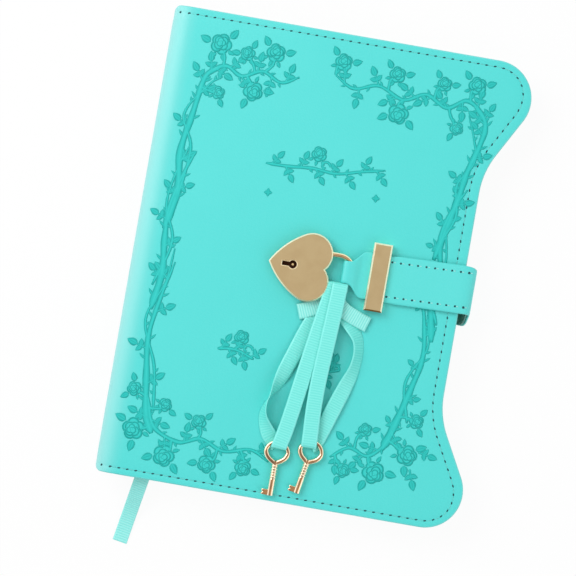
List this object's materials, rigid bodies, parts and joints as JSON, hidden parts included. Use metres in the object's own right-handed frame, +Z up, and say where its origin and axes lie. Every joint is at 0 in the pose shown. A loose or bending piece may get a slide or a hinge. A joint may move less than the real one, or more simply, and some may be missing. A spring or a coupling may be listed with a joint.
{
  "type": "diary with lock",
  "caption": "Closed diary with a wavy fore edge, a strap through a gold keeper bar, a heart padlock on a swinging shackle, keys on ribbons and a hinged front cover.",
  "frame": {"origin": "on the table under the middle of the covers, ribbons left out", "axes": "+X from the spine to the fore edge, +Y to the head of the book, +Z up through the front cover"},
  "size_m": [0.167, 0.2453, 0.0262],
  "materials": {
    "skin": "smooth imitation leather",
    "lining": "matte imitation leather",
    "board": "raw board",
    "paper": "uncoated",
    "cloth": "woven",
    "ribbon": "ribbed grosgrain",
    "gold": "satin plated with bright bevels",
    "key_gold": "polished plated",
    "steel": "plain"
  },
  "bodies": {
    "book": {"back_skin": "skin", "back_board": "board", "back_lining": "lining", "spine_skin": "skin", "spine_liner": "cloth", "signatures": "paper", "back_flyleaf": "paper", "head_band": "cloth", "tail_band": "cloth", "bookmark_ribbon": "ribbon"},
    "front_cover": {"front_skin": "skin", "front_board": "board", "front_lining": "lining", "strap_keeper": "gold", "keeper_screws": "steel"},
    "flyleaf": {"front_flyleaf": "paper"},
    "first_leaf": {"title_leaf": "paper"},
    "strap": {"strap_outer": "skin", "strap_lining": "lining", "shackle": "gold", "ribbon_knot": "ribbon", "key_ribbon_left": "ribbon", "key_ribbon_right": "ribbon"},
    "padlock": {"padlock_case": "gold", "padlock_face": "gold", "pivot_pin": "steel", "key_post": "steel", "latch_spring": "steel"},
    "left_key": {"key_left": "key_gold"},
    "right_key": {"key_right": "key_gold"}
  },
  "joints": [
    {"name": "cover_open", "type": "hinge", "parent": "book", "child": "front_cover", "pos_m": [-0.07435, 0, 0.01986], "axis": [0, -1, 0], "range_deg": [0, 178]},
    {"name": "flyleaf_turn", "type": "hinge", "parent": "book", "child": "flyleaf", "pos_m": [-0.07435, 0, 0.01986], "axis": [0, -1, 0], "range_deg": [0, 174]},
    {"name": "first_leaf_turn", "type": "hinge", "parent": "book", "child": "first_leaf", "pos_m": [-0.0739, 0, 0.01614], "axis": [0, -1, 0], "range_deg": [0, 26]},
    {"name": "strap_draw", "type": "slide", "parent": "front_cover", "child": "strap", "axis": [1, 0, 0], "range_m": [0, 0.0025]},
    {"name": "padlock_open", "type": "hinge", "parent": "strap", "child": "padlock", "pos_m": [0.00058, 0.0077, 0.02271], "axis": [0, 0, -1], "range_deg": [0, 70], "deforming": ["latch_spring"]},
    {"name": "key_left_swing", "type": "hinge", "parent": "strap", "child": "left_key", "pos_m": [-0.0029, -0.0853, 0.02206], "axis": [0, 0, 1], "range_deg": [-25, 8]},
    {"name": "key_right_swing", "type": "hinge", "parent": "strap", "child": "right_key", "pos_m": [0.012, -0.0825, 0.02206], "axis": [0, 0, 1], "range_deg": [-5, 30]}
  ],
  "couplings": [
    {"joint": "flyleaf_turn", "follows": "cover_open", "ratio": 0.97},
    {"joint": "first_leaf_turn", "follows": "cover_open", "ratio": 0.14}
  ]
}
